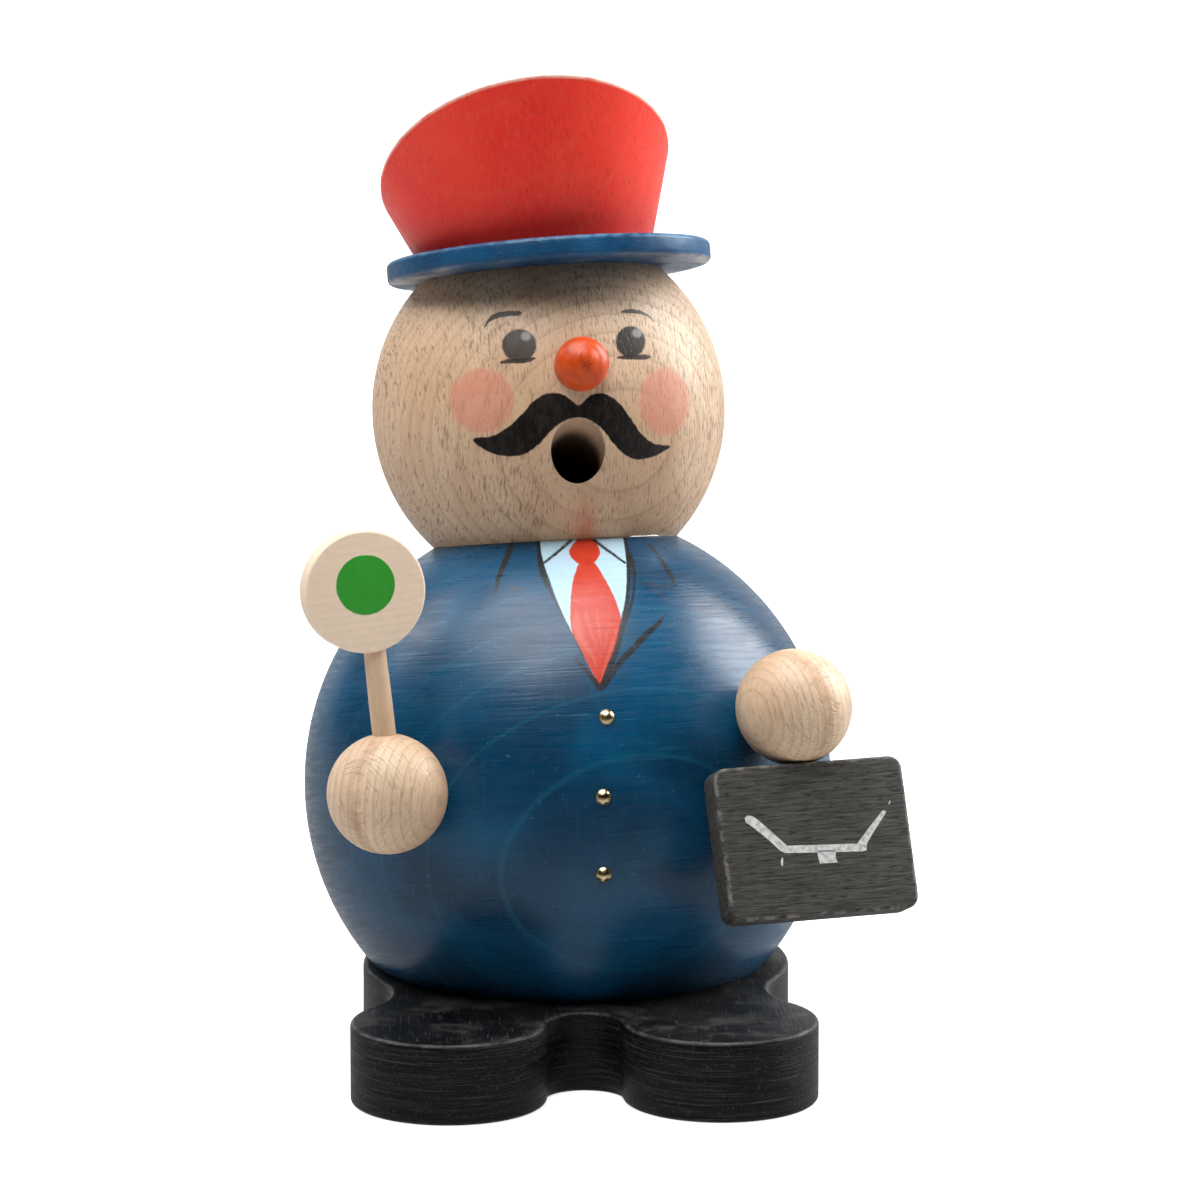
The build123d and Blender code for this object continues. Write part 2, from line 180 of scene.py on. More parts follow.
def link_object(name, data):
    made = bpy.data.objects.new(name, data)
    bpy.context.scene.collection.objects.link(made)
    return made


def smooth_faces(bm):
    """Smooth shading, with hard edges kept where faces meet at a large angle."""
    for face in bm.faces:
        face.smooth = True
    for edge in bm.edges:
        edge.smooth = edge.calc_face_angle(0.0) < SMOOTH_ANGLE


def add_object(name, bm, place=None):
    """Object from a bmesh in millimetres."""
    if place is not None:
        bm.transform(place)
    bmesh.ops.recalc_face_normals(bm, faces=bm.faces)
    bm.transform(Matrix.Scale(MM, 4))
    smooth_faces(bm)
    mesh = bpy.data.meshes.new(name)
    bm.to_mesh(mesh)
    bm.free()
    return link_object(name, mesh)


def solid(rings):
    """Closed solid from rings of points; a ring of one point is a pole."""
    bm = bmesh.new()
    rows = [[bm.verts.new(point) for point in ring] for ring in rings]
    steps = max(len(row) for row in rows)
    for low, high in zip(rows, rows[1:]):
        for k in range(steps):
            pairs = ((low, k), (low, k + 1), (high, k + 1), (high, k))
            corners = list(dict.fromkeys(row[j % steps % len(row)] for row, j in pairs))
            if len(corners) > 2:
                bm.faces.new(corners)
    for row in (rows[0], rows[-1]):
        if len(row) > 1:
            bm.faces.new(row)
    return bm


def lathe(profile, steps=160, angles=None):
    """Turned solid about Z from (radius, height) points."""
    rings = []
    for radius, height in profile:
        around = angles or [2 * math.pi * k / steps for k in range(steps)]
        if radius == 0:
            around = [0]
        rings.append([(radius * math.cos(a), radius * math.sin(a), height) for a in around])
    return solid(rings)


def arc_points(centre, radius, start, end, count):
    """Points of an arc in degrees, both ends included."""
    points = []
    for k in range(count):
        angle = math.radians(start + (end - start) * k / (count - 1))
        points.append((centre[0] + radius * math.cos(angle), centre[1] + radius * math.sin(angle)))
    return points


def spread_angles(start, end, window, coarse, fine):
    """Degrees from start to end in coarse steps, and in fine steps inside the window."""
    angles = []
    parts = ((start, window[0], coarse), (*window, fine), (window[1], end, coarse))
    for low, high, step in parts:
        count = max(1, round((high - low) / step))
        angles += [low + (high - low) * k / count for k in range(count)]
    return angles


def spheroid(side, tall, coarse=2.0, fine=2.0, azimuths=(-30, 30), elevations=(-30, 30)):
    """Ball about Z with finer faces in a window about its front, which is -Y."""
    around = [math.radians(a - 90) for a in spread_angles(-180, 180, azimuths, coarse, fine)]
    rising = spread_angles(-90, 90, elevations, coarse, fine)[1:]
    profile = [(0.0, -tall)]
    profile += [(side * math.cos(math.radians(a)), tall * math.sin(math.radians(a))) for a in rising]
    return lathe([*profile, (0.0, tall)], angles=around)


def slice_off(bm, plane, keep_above):
    """Cuts a closed mesh at a plane frame and closes the cut."""
    normal = plane.col[2].to_3d()
    cut = bmesh.ops.bisect_plane(
        bm,
        geom=bm.verts[:] + bm.edges[:] + bm.faces[:],
        plane_co=plane.translation,
        plane_no=normal,
        clear_inner=keep_above,
        clear_outer=not keep_above,
    )
    rim = [item for item in cut["geom_cut"] if isinstance(item, bmesh.types.BMEdge)]
    bmesh.ops.holes_fill(bm, edges=rim, sides=0)


def carve(target, cutters):
    """Takes cutters, which are bmeshes in millimetres, out of an object."""
    for number, cutter in enumerate(cutters):
        tool = add_object(f"cutter_{number}", cutter)
        modifier = target.modifiers.new("cut", "BOOLEAN")
        modifier.operation = "DIFFERENCE"
        modifier.solver = "EXACT"
        modifier.object = tool
        with bpy.context.temp_override(object=target, active_object=target, selected_objects=[target]):
            bpy.ops.object.modifier_apply(modifier=modifier.name)
        bpy.data.objects.remove(tool)
    bm = bmesh.new()
    bm.from_mesh(target.data)
    smooth_faces(bm)
    bm.to_mesh(target.data)
    bm.free()


def rod(radius, low, high, place, steps=48):
    bm = lathe([(0, low), (radius, low), (radius, high), (0, high)], steps)
    bm.transform(place)
    return bm


def fit(piece, material, slot, *replaced, body="figure"):
    """Gives a piece its material and the body it moves with, and hides the solids that it replaces."""
    piece.data.materials.clear()
    piece.data.materials.append(material)
    if replaced:
        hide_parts(*replaced)
    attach(piece, body)
    return piece


# Painted shapes, as signed distances in photo pixels that the vertices carry

FAR = 60.0          # pixels, where such a distance ends


def smooth_outline(points, steps=8):
    """Closed curve through the points."""
    count = len(points)
    dense = []
    for k in range(count):
        p0, p1, p2, p3 = (np.array(points[(k + j - 1) % count], float) for j in range(4))
        for step in range(steps):
            t = step / steps
            dense.append(0.5 * (2 * p1 + (p2 - p0) * t + (2 * p0 - 5 * p1 + 4 * p2 - p3) * t ** 2
                                + (3 * p1 - p0 - 3 * p2 + p3) * t ** 3))
    return np.array(dense)


def segment_distance(pixels, start, end):
    """Distances to a segment, and where along it, 0 to 1, each pixel is nearest."""
    along = end - start
    share = np.clip((pixels - start) @ along / max(along @ along, 1e-9), 0, 1)
    return np.hypot(*(pixels - start - share[:, None] * along).T), share


def outline_distance(pixels, outline):
    """Signed distance to a closed outline, negative inside."""
    best = np.full(len(pixels), 1e9)
    inside = np.zeros(len(pixels), bool)
    for start, end in zip(outline, np.roll(outline, -1, 0)):
        best = np.minimum(best, segment_distance(pixels, start, end)[0])
        crosses = (start[1] > pixels[:, 1]) != (end[1] > pixels[:, 1])
        if end[1] != start[1]:
            where = start[0] + (pixels[:, 1] - start[1]) * (end[0] - start[0]) / (end[1] - start[1])
            inside ^= crosses & (pixels[:, 0] < where)
    return np.where(inside, -best, best)


def stroke_distance(pixels, points):
    """Signed distance to a brush stroke through (x, y, half width) points."""
    best = np.full(len(pixels), 1e9)
    for start, end in zip(points, points[1:]):
        away, share = segment_distance(pixels, np.array(start[:2]), np.array(end[:2]))
        best = np.minimum(best, away - start[2] - (end[2] - start[2]) * share)
    return best


def paint(piece, middle, shapes):
    """Stores each named shape's distance on a ball; what faces away from the camera is out of it."""
    points = np.array([v.co for v in piece.data.vertices]) / MM
    facing = (points - np.array(middle)) @ (np.array(CAMERA_PLACE) - np.array(middle)) > 0
    pixels = to_photo(points)
    for name, parts in shapes.items():
        distance = np.minimum.reduce([part(pixels) for part in parts])
        layer = piece.data.attributes.new(name, "FLOAT", "POINT")
        values = np.clip(np.where(facing, distance, FAR), -FAR, FAR)
        layer.data.foreach_set("value", values.astype(np.float32))


def blob(*points):
    return lambda pixels: outline_distance(pixels, smooth_outline(points))


def polygon(*points):
    return lambda pixels: outline_distance(pixels, np.array(points))


def strokes(*lists):
    return [lambda pixels, points=points: stroke_distance(pixels, points) for points in lists]


def ellipse(centre, half):
    return lambda pixels: (np.hypot(*((pixels - np.array(centre)) / np.array(half)).T) - 1) * min(half)


FACE_PAINT = {
    "moustache": [
        blob((578.5, 405), (565, 395.5), (549.5, 393), (535, 400), (522, 414), (508, 427), (492, 436),
            (473, 438.5), (480, 447), (495, 454), (511, 456.5), (527, 453), (540, 443), (552, 430),
            (565, 420.5), (578.5, 417.5), (591, 420.5), (603, 430), (613, 443), (624, 454), (636, 459.5),
            (652, 457), (663, 452), (670, 446), (654, 443.5), (642, 434), (632, 420), (622, 406),
            (611, 396.5), (601, 393), (590, 395.5)),
    ],
    "iris": [
        ellipse((519.3, 345.3), (17.2, 16.2)),
        ellipse((630.5, 341.8), (14.9, 15.6)),
    ],
    "lid": strokes(
        [(500.5, 362.8, 1), (508, 361.2, 2.2), (520, 361, 2.6), (530, 359.4, 2.4), (534.5, 358.2, 1)],
        [(617.5, 357.6, 1), (624, 357.4, 2.2), (635, 357.4, 2.4), (645, 357, 2.6), (649.5, 356.8, 1.2)],
        [(484.5, 327, 0.5), (488, 321.5, 1.3), (493, 317, 2.4), (500, 314.6, 2.8), (510, 313.4, 2.7),
         (518.5, 313.2, 2.3), (521, 313, 1)],
        [(620.5, 312.4, 0.6), (625, 311.4, 1.7), (632, 311, 2.3), (639, 312, 1.9), (646, 314.6, 1.2),
         (651, 318, 0.8), (654.5, 322.5, 0.3)],
    ),
    "glint": [
        ellipse((525.8, 336.2), (4.8, 4.4)),
        ellipse((637.2, 333), (5.2, 4.4)),
    ],
    "cheek": [
        ellipse((481.5, 401), (32, 32.5)),
        ellipse((664, 402), (25, 34)),
    ],
    "bleed": [
        ellipse((587, 528), (7, 22)),
    ],
}

COAT_PAINT = {
    "shirt": [
        polygon((539.5, 533), (541, 552), (544, 565), (549, 578), (556, 598), (563, 615), (572, 634),
            (580, 648), (600, 687), (615, 640), (621.5, 619), (625, 604), (627, 585), (627, 568),
            (625.5, 554), (623, 533)),
    ],
    "tie": [
        blob((569, 552), (572, 545.5), (577, 540), (584, 537.5), (592, 538.5), (597, 544), (600, 552),
            (597.5, 559), (592, 564), (587, 566), (580, 564.5), (573, 559.5)),
        blob((580, 563), (593, 561.5), (602, 574), (610, 588), (615.5, 600), (619.5, 612), (621.5, 622),
            (619.5, 635), (615, 649), (609, 664), (604, 677), (600, 686.5), (592, 672), (584, 657),
            (576, 641), (572, 632), (570.3, 619), (570.3, 605), (571.5, 590), (574, 577)),
    ],
    "ink": strokes(
        [(538, 540, 1.6), (538.8, 552, 2.1), (540.5, 563, 3), (543, 573, 3.2), (546.5, 583, 2.6),
         (551, 592, 1.4), (556, 602, 1), (564, 619, 0.9), (573, 636, 0.9), (583, 656, 1.2)],
        [(574, 656, 0.6), (580, 664, 1.5), (588, 673, 2.2), (595, 681, 2.5), (600.5, 688.5, 2.4)],
        [(624.5, 538, 1.5), (627.5, 550, 2.1), (629, 561, 2.6), (628.6, 580, 1.9), (627.4, 597, 1.9),
         (625.5, 611, 2.5), (622.5, 626, 2.9), (619.5, 640, 2.8), (615, 654, 2.9), (609, 669, 3),
         (602, 686, 2.6)],
        [(631, 556, 1.6), (634, 568, 1.7), (634.4, 582, 1.6), (633, 597, 1.5), (629.5, 610, 1.6),
         (626, 622, 1.2)],
        [(543, 563.5, 1.1), (553, 556, 1.3), (563, 547.5, 1.5), (571, 540.5, 1.5)],
        [(594, 540, 1.5), (602, 546, 1.5), (612, 553.5, 1.3), (625, 562.8, 1.2)],
        [(511.5, 546, 2.9), (507, 557, 3.1), (503, 567, 2.8), (499, 577, 2.5), (496, 587, 2), (494, 596, 1)],
        [(649, 544.5, 1.3), (657, 554, 1.4), (663, 563, 1.7), (668, 571, 2.2), (673, 580, 2.5),
         (675.5, 586, 0.9)],
        [(604, 688, 1.8), (612, 674, 2.7), (622, 660, 2.9), (632, 650, 3.2), (641, 640, 3.2), (650, 631, 2.8),
         (658, 624, 2.1), (666, 614, 1)],
    ),
    "thin_ink": strokes(
        [(647, 581.5, 1.2), (655, 584.5, 1.6), (664, 587, 1.4), (672, 587, 1), (677, 589, 0.8)],
        [(648, 583, 1), (656, 590, 1.4), (664, 596, 1.2), (672, 603, 0.8)],
        [(512, 590, 1.6), (518, 588, 2.2), (523, 588.5, 1.4)],
    ),
    "streak": strokes(
        [(576, 609, 0.4), (576.5, 622, 4.2), (580, 636, 3.6), (588, 652, 1)],
        [(585, 604, 0.3), (587, 618, 1.9), (591, 632, 1.4), (597, 646, 0.3)],
        [(596, 608, 0.3), (598, 622, 1.7), (600, 636, 1.1), (602, 648, 0.2)],
        [(586, 640, 0.3), (592, 655, 1.4), (597, 668, 0.4)],
        [(617, 628, 0.4), (612, 645, 1.5), (606, 663, 1.7), (601, 680, 0.5)],
        [(609, 618, 0.3), (608, 632, 1), (604, 648, 0.3)],
        [(573.5, 596, 0.3), (575, 600, 1.4), (579, 602, 0.4)],
    ),
}

FLAP_LINE = [
    [(744.6, 818), (747, 815.6), (752, 816), (758, 820), (770, 830.5), (787, 845.8), (784.5, 852.6),
        (780.5, 851), (768, 839.5), (752, 826.5), (745.8, 822.5)],
    [(785, 845.8), (858, 843.6), (866.4, 846), (866.6, 850.4), (862, 851.4), (784.5, 853.2)],
    [(857, 843.8), (871, 825), (882.5, 810.5), (886, 811), (885.5, 813.5), (874, 831), (867, 843.4),
        (866.4, 848)],
    [(817.5, 850.5), (835.5, 849.8), (835.6, 857), (837.6, 862.4), (820, 863.6), (818, 857)],
    [(781.8, 857.4), (783.1, 858.4), (783, 865), (781.6, 866.2), (780.6, 862)],
    [(889.6, 800.6), (890.6, 801.8), (889.4, 804.6), (888, 804.2)],
]


# Materials

class Nodes:
    """A node tree, with short calls for the nodes that it is made of."""

    def __init__(self, tree):
        self.tree = tree

    def link(self, value, socket):
        if isinstance(value, bpy.types.NodeSocket):
            self.tree.links.new(value, socket)
        else:
            socket.default_value = value

    def add(self, kind, inputs=(), output=0, **settings):
        """A new node's output; inputs pairs its sockets with numbers or with other outputs."""
        node = self.tree.nodes.new(f"ShaderNode{kind}")
        for name, value in settings.items():
            setattr(node, name, value)
        for socket, value in inputs:
            self.link(value, node.inputs[socket])
        return node.outputs[output]

    def math(self, operation, *values):
        return self.add("Math", enumerate(values), operation=operation)

    def times(self, first, second):
        return self.math("MULTIPLY", first, second)

    def plus(self, first, second):
        return self.math("ADD", first, second)

    def minus(self, first, second):
        return self.math("SUBTRACT", first, second)

    def vector(self, operation, *values, output="Vector"):
        return self.add("VectorMath", enumerate(values), output, operation=operation)

    def span(self, value, low, high, to_low=0.0, to_high=1.0, kind="SMOOTHSTEP"):
        names = ("Value", "From Min", "From Max", "To Min", "To Max")
        inputs = zip(names, (value, low, high, to_low, to_high))
        return self.add("MapRange", inputs, "Result", interpolation_type=kind)

    def fall(self, value, low, high):
        return self.span(value, low, high, 1.0, 0.0)

    def between(self, share, first, second):
        """Number that is first where share is 0 and second where it is 1."""
        return self.span(share, 0.0, 1.0, first, second, "LINEAR")

    def mix(self, share, first, second):
        colours = ((*value, 1.0) if isinstance(value, tuple) else value for value in (first, second))
        return self.add("Mix", zip((0, 6, 7), (share, *colours)), 2, data_type="RGBA")

    def tinted(self, base, share, amount, colour):
        return self.mix(self.times(share, amount), base, colour)

    def parts(self, vector):
        return tuple(self.add("SeparateXYZ", [(0, vector)]).node.outputs)


class Look(Nodes):
    """A material; local is the place in the piece's own frame in millimetres, base the colour so far."""

    def __init__(self, name, place=None, **constants):
        self.material = bpy.data.materials.new(name)
        self.material.use_nodes = True
        super().__init__(self.material.node_tree)
        self.shader = self.tree.nodes["Principled BSDF"]
        for socket, value in constants.items():
            self.shader.inputs[socket.replace("_", " ")].default_value = value
        inverse = (place or Matrix.Identity(4)).inverted()
        inputs = {
            "Vector": self.add("TexCoord", (), "Object"),
            "Scale": (1 / MM,) * 3,
            "Rotation": inverse.to_euler("XYZ"),
            "Location": inverse.translation,
        }
        self.local = self.add("Mapping", inputs.items(), "Vector")
        self.base = None

    def stretched(self, scale):
        return self.vector("MULTIPLY", self.local, (scale,) * 3 if isinstance(scale, float) else scale)

    def noise(self, scale, detail=3.0, roughness=0.5, distortion=0.0):
        names = ("Vector", "Scale", "Detail", "Roughness", "Distortion")
        values = (self.stretched(scale), 1.0, detail, roughness, distortion)
        return self.add("TexNoise", zip(names, values), "Fac")

    def length(self, scale):
        """Distance from the piece's middle once local is stretched."""
        return self.vector("LENGTH", self.stretched(scale), output="Value")

    def painted(self, name, soft, wobble):
        """Share of a stored shape, 1 inside, with a brushed edge."""
        distance = self.add("Attribute", (), "Fac", attribute_name=name)
        rough = self.minus(self.noise(1.1, 3.0, 0.6), 0.5)
        return self.fall(self.plus(distance, self.times(rough, wobble)), -soft / 2, soft / 2)

    def rings(self, pith, period, first, wobble):
        """Growth rings about a pith along the piece's Z, 0 to 1; a ring line has the radius first."""
        x, y, z = self.parts(self.local)
        sway = self.times(self.minus(self.noise((0.035, 0.035, 0.012)), 0.5), wobble)
        across, along = self.minus(x, pith[0]), self.minus(y, pith[1])
        square = self.math("MULTIPLY_ADD", across, across, self.times(along, along))
        bowed = self.math("MULTIPLY_ADD", z, self.times(z, 0.25), square)
        radius = self.plus(self.math("SQRT", bowed), sway)
        return self.math("FRACT", self.math("DIVIDE", self.minus(radius, first), period))

    def cover(self, share, colour):
        self.base = self.mix(share, self.base, colour)

    def tint(self, share, amount, colour):
        self.cover(self.times(share, amount), colour)

    def rough(self, value):
        self.link(value, self.shader.inputs["Roughness"])

    def finish(self, height=None, distance=0.0):
        """The material, once its base and a relief of distance millimetres are linked."""
        self.link(self.base, self.shader.inputs["Base Color"])
        if height is not None:
            normal = self.add("Bump", (("Distance", distance * MM), ("Height", height)), "Normal")
            self.link(normal, self.shader.inputs["Normal"])
        return self.material


BEECH = (0.6, 0.395, 0.245)
BEECH_DARK = (0.36, 0.225, 0.14)
BEECH_PALE = (0.75, 0.56, 0.39)
FLECK = (0.17, 0.092, 0.052)


def beech_layers(
    look, turn=(0, 0, 0), pith=(0.0, 60.0), period=2.6, first=60.0, flecks=0.6, contrast=1.0,
    wobble=1.4, rays=(5.2, 0.8, 0.75), ray_share=0.4, line=0.34
):
    """Makes bare beech the base, its grain along the Z of the turned frame, and gives its layers."""
    keep = look.local
    angles = Euler([math.radians(a) for a in turn])
    look.local = look.add("Mapping", (("Vector", keep), ("Rotation", angles)), "Vector")
    ring = look.rings(pith, period, first, wobble)
    sharp = look.times(look.span(ring, 0.9, 0.96), 0.45)
    late = look.math("MULTIPLY_ADD", look.span(ring, 0.55, 0.985), 0.55, sharp)
    early = look.fall(ring, 0.0, 0.05)
    band = look.times(look.math("MAXIMUM", late, early), line * contrast)
    fibre = look.noise((4.2, 1.2, 0.16), 4.0, 0.65)
    cloud = look.noise((0.07, 0.07, 0.03))
    coarse = look.noise(rays, 1.0, 0.5, distortion=0.25)
    small = look.noise(tuple(1.8 * size for size in rays), 1.0, 0.5, distortion=0.2)
    density = look.noise((0.12, 0.08, 0.05), 2.0)
    limit = look.span(density, 0.3, 0.7, flecks + 0.05, flecks - 0.04)
    fleck = look.span(look.minus(coarse, limit), 0.0, 0.07)
    fine = look.span(look.minus(small, limit), -0.01, 0.07)
    look.base = look.mix(look.span(cloud, 0.3, 0.7), BEECH, BEECH_PALE)
    look.tint(look.span(fibre, 0.38, 0.72), 0.3 * contrast, BEECH_DARK)
    look.cover(band, BEECH_DARK)
    look.tint(fine, 0.6 * ray_share * contrast, FLECK)
    look.tint(fleck, ray_share * contrast, FLECK)
    height = look.minus(look.times(fibre, 0.35), look.times(fleck, 0.8))
    look.local = keep
    return height, fleck, ring


def bare_beech(name, place=None, heart=None, **layers):
    """Turned beech, with a band of brown heartwood across it where heart gives its place."""
    look = Look(name, place, Roughness=0.42, Specular_IOR_Level=0.42)
    height, _, _ = beech_layers(look, **layers)
    if heart is not None:
        away = look.math("ABSOLUTE", look.minus(look.parts(look.local)[0], heart))
        patches = look.span(look.noise((0.5, 0.5, 0.2)), 0.3, 0.6)
        look.tint(look.span(away, 0.2, 1.5, 0.6, 0.0), patches, (0.42, 0.24, 0.13))
    look.rough(look.span(look.noise(0.4), 0.3, 0.7, 0.37, 0.52))
    return look.finish(height, 0.05)


def inside_share(look, side, tall):
    """1 on the walls of bores, from 0.8 to 0.3 mm below a ball's skin."""
    return look.fall(look.length((1 / side, 1 / side, 1 / tall)), 1 - 0.8 / side, 1 - 0.3 / side)


def head_material():
    look = Look("head_beech", head_frame, Roughness=0.4, Specular_IOR_Level=0.33)
    height, _, _ = beech_layers(
        look, (-12.3, 0, 0), pith=(-9.7, 38.8), period=1.5, first=62.9, flecks=0.585, wobble=0.6,
        rays=(4.4, 0.7, 0.62), ray_share=0.46, line=0.4
    )
    look.tint(look.painted("bleed", 16, 8), 0.42, (0.52, 0.13, 0.09))
    patches = look.span(look.noise(0.5), 0.2, 0.8, 0.56, 0.76)
    look.tint(look.painted("cheek", 7, 5), patches, (0.64, 0.235, 0.155))
    side = look.span(look.parts(look.local)[0], -1.0, 1.0)
    grey = look.mix(side, (0.029, 0.022, 0.018), (0.007, 0.006, 0.0055))
    grey = look.tinted(grey, look.noise((3.0, 3.0, 0.4), 3.0, 0.6), 0.35, (0.06, 0.054, 0.05))
    look.tint(look.painted("iris", 2.2, 2.2), 0.96, grey)
    look.tint(look.painted("glint", 3.4, 1.6), 0.62, (0.42, 0.38, 0.34))
    look.tint(look.painted("lid", 1.4, 1.8), 0.93, (0.016, 0.011, 0.01))
    hair = look.painted("moustache", 1.6, 2.2)
    strands = look.noise((1.2, 1.2, 0.5), 3.0, 0.7, distortion=0.5)
    black = look.mix(look.span(strands, 0.35, 0.75), (0.004, 0.0026, 0.0022), (0.024, 0.017, 0.014))
    look.cover(hair, black)
    # The mouth bore goes from pale at the lip to near black deeper in: painted shade, with brown blotches
    # over it.
    deep = look.fall(look.length((1 / HEAD_SIDE, 1 / HEAD_SIDE, 1 / HEAD_TALL)), 0.74, 0.9)
    bore = look.mix(deep, (0.56, 0.4, 0.28), (0.03, 0.015, 0.01))
    bore = look.tinted(bore, look.noise(0.9), 0.4, (0.2, 0.11, 0.06))
    look.cover(inside_share(look, HEAD_SIDE, HEAD_TALL), bore)
    look.rough(look.span(hair, 0.0, 1.0, 0.42, 0.5))
    return look.finish(look.plus(height, look.times(hair, 0.5)), 0.05)


def turning_marks(look):
    """Fine lines that run round a turned piece's axis."""
    lines = look.noise((0.05, 0.05, 2.2), 3.0, 0.65)
    breaks = look.noise((0.25, 0.25, 0.4), 2.0)
    return look.times(look.span(lines, 0.56, 0.72), look.span(breaks, 0.42, 0.62))


def coat_material():
    look = Look("coat_blue", neck_frame, Roughness=0.36, Specular_IOR_Level=0.42)
    height, fleck, ring = beech_layers(
        look, (-18.3, 0, 0), pith=(-7.0, 50.0), period=4.2, first=85.3, flecks=0.62, wobble=1.0
    )
    wood = look.base
    cloud = look.noise((0.045, 0.045, 0.06), 4.0, 0.55, distortion=0.4)
    look.base = look.mix(look.span(cloud, 0.32, 0.68), (0.0009, 0.034, 0.084), (0.002, 0.07, 0.158))
    band = look.math("MAXIMUM", look.span(ring, 0.93, 0.99), look.fall(ring, 0.0, 0.03))
    look.tint(band, 0.28, (0.01, 0.14, 0.21))
    look.tint(turning_marks(look), 0.36, (0.02, 0.15, 0.23))
    fibre = look.noise((3.4, 0.8, 0.12), 4.0, 0.65)
    look.tint(look.span(fibre, 0.5, 0.8), 0.3, (0.012, 0.13, 0.2))
    look.tint(fleck, 0.12, (0.001, 0.012, 0.03))
    look.tint(look.span(look.noise(1.6, 1.0), 0.735, 0.77), 0.45, (0.05, 0.2, 0.28))
    linen = look.mix(look.noise((0.5, 0.5, 0.15)), (0.4, 0.59, 0.7), (0.48, 0.66, 0.77))
    look.cover(look.painted("shirt", 1.3, 1.2), linen)
    tie = look.painted("tie", 1.4, 1.6)
    silk = look.mix(look.noise((0.8, 0.8, 0.2), 3.0, 0.6), (0.47, 0.022, 0.007), (0.59, 0.048, 0.018))
    look.cover(tie, silk)
    streak = look.times(look.painted("streak", 2.2, 3.0), 0.38)
    look.tint(streak, tie, (0.68, 0.15, 0.085))
    dry = look.span(look.noise((1.2, 1.2, 0.5), 3.0, 0.7), 0.28, 0.5, 0.6, 1.0)
    look.tint(look.painted("ink", 1.5, 2.0), dry, (0.013, 0.015, 0.018))
    look.tint(look.painted("thin_ink", 1.6, 2.4), 0.55, (0.045, 0.05, 0.055))
    bore = inside_share(look, BODY_SIDE, BODY_TALL)
    smoked = look.mix(look.span(look.noise(0.15), 0.3, 0.7), wood, (0.15, 0.085, 0.045))
    look.cover(bore, smoked)
    shine = look.span(look.noise((0.12, 0.12, 1.8), 4.0, 0.6), 0.3, 0.7, 0.25, 0.39)
    look.rough(look.mix(bore, shine, (0.75, 0.75, 0.75)))
    grooves = look.noise((0.07, 0.07, 3.0), 3.0, 0.6)
    relief = look.plus(look.times(height, 0.15), grooves)
    return look.finish(look.plus(relief, look.times(turning_marks(look), -0.3)), 0.03)


def stained(
    name, place, dark, light, worn, gloss=0.38, marks=0.3, level=0.5, ring_share=0.15,
    fibres=(2.2, 2.2, 0.1), **layers
):
    """Stained beech whose colour varies with the grain under it."""
    look = Look(name, place, Roughness=gloss, Specular_IOR_Level=level)
    height, fleck, ring = beech_layers(look, **layers)
    cloud = look.noise((0.08, 0.08, 0.05), 4.0, 0.55, distortion=0.3)
    fibre = look.noise(fibres, 4.0, 0.65)
    look.base = look.mix(look.span(cloud, 0.3, 0.7), dark, light)
    look.tint(look.span(fibre, 0.45, 0.8), marks, worn)
    look.tint(fleck, 0.28, tuple(c * 0.4 for c in dark))
    line = look.math("MAXIMUM", look.span(ring, 0.9, 0.99), look.fall(ring, 0.0, 0.03))
    look.tint(line, ring_share, worn)
    look.rough(look.span(look.noise(0.5), 0.3, 0.7, gloss - 0.05, gloss + 0.08))
    return look, height


def crown_material():
    look, height = stained(
        "crown_red", crown_frame, (0.88, 0.022, 0.01), (0.95, 0.044, 0.02), (0.95, 0.13, 0.068),
        flecks=0.62, marks=0.35, gloss=0.34, level=0.32, turn=(0, 0, 25), pith=(0.0, 34.0), period=5.2,
        first=49.0, ring_share=0.1
    )
    upward = crown_frame.to_3x3() @ crown_top
    tilt = look.vector("DOT_PRODUCT", look.add("NewGeometry", (), "Normal"), upward, output="Value")
    rise = look.vector("DOT_PRODUCT", look.local, crown_top, output="Value")
    top = crown_top.z * CROWN_HEIGHT
    # The top rim is lighter: partly worn stain, partly a painted highlight along its rounded edge.
    rim = look.span(rise, top - 0.6, top - 0.25)
    edge = look.times(rim, look.fall(tilt, 0.9, 0.99))
    wear_and_highlight = look.span(look.noise(0.4), 0.3, 0.55, 0.35, 1.0)
    look.tint(edge, wear_and_highlight, (0.92, 0.55, 0.44))
    return look.finish(height, 0.022)


def brim_material():
    look, height = stained(
        "brim_blue", brim_frame, (0.003, 0.045, 0.12), (0.009, 0.088, 0.21), (0.04, 0.19, 0.34),
        flecks=0.66, fibres=(0.12, 2.2, 2.6), level=0.35, turn=(0, 90, 0), ring_share=0.0
    )
    x, _, z = look.parts(look.local)
    # Whitish patches under the brim towards its ends: partly bare wood, partly a painted reflection of the
    # pale floor.
    under = look.fall(z, -0.02, 0.55)
    bare_and_reflected = look.span(look.noise(0.12), 0.42, 0.62, 0.1, 0.85)
    sides = look.span(look.math("ABSOLUTE", x), 12.0, 19.0, 0.12, 1.0)
    look.tint(under, look.times(bare_and_reflected, sides), (0.5, 0.49, 0.49))
    # The top outer edge is a lighter blue: partly wear, partly a painted highlight.
    rim = look.span(look.length((1.0, 1.0, 0.0)), BRIM - 0.9, BRIM - 0.2)
    rim = look.times(rim, look.span(z, BRIM_THICK - 0.9, BRIM_THICK))
    wear_and_highlight = look.span(look.noise(0.5), 0.42, 0.62)
    look.tint(rim, look.times(wear_and_highlight, 0.6), (0.12, 0.3, 0.46))
    return look.finish(height, 0.04)


